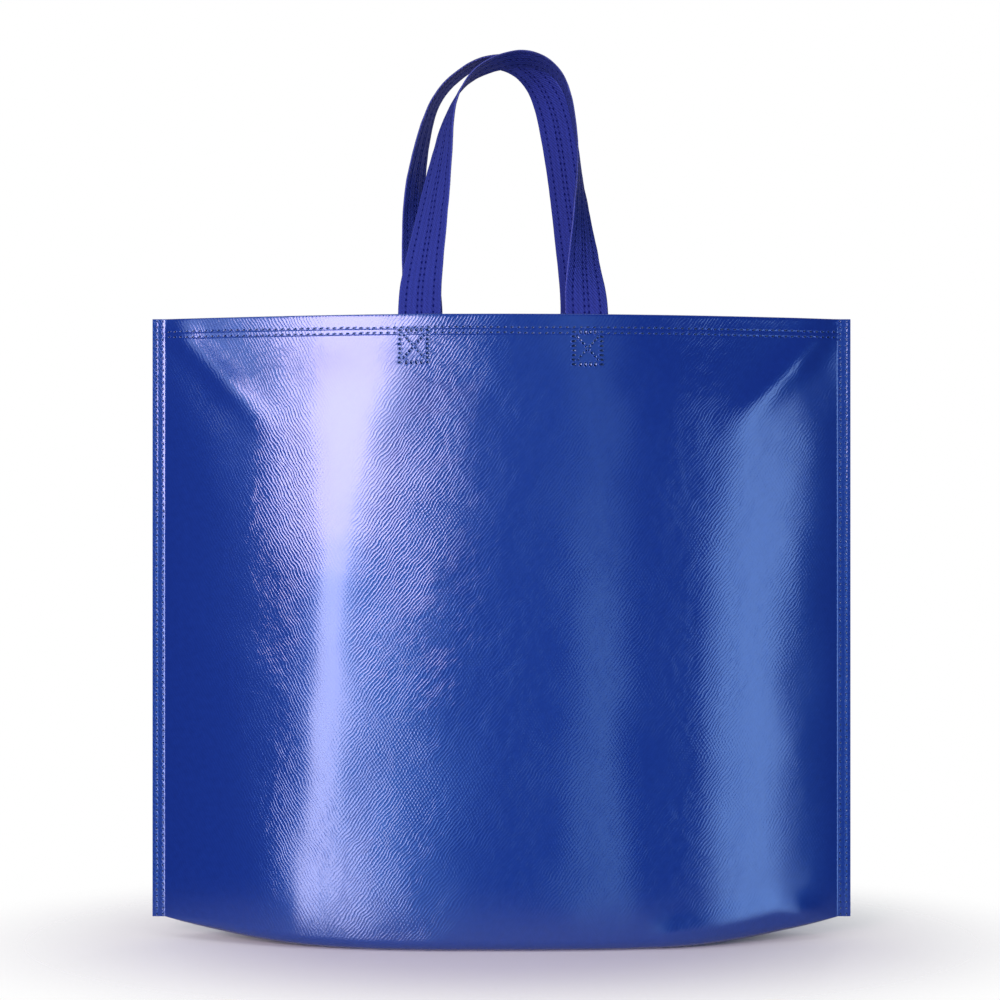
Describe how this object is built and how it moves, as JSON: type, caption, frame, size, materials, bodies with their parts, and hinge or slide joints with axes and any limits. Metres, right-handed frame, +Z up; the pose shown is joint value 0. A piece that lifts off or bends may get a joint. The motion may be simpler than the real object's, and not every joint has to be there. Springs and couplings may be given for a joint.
{
  "type": "non-woven carrier bag",
  "caption": "Wide laminated non-woven bag standing open, with a gusseted base, flat welded side seams, a turned-in hem and strap handles standing up",
  "frame": {"origin": "on the floor under the middle of the base", "axes": "+Z up, the front panel faces -Y, +X to the right as seen from the front"},
  "size_m": [0.45, 0.093, 0.5705],
  "materials": {
    "laminated_sheet": "glossy film on spunbond non-woven, royal blue",
    "strap_cloth": "matte spunbond non-woven, blue-violet"
  },
  "bodies": {
    "root": {"bag_body": "laminated_sheet", "front_handle": "strap_cloth", "back_handle": "strap_cloth"}
  },
  "joints": []
}
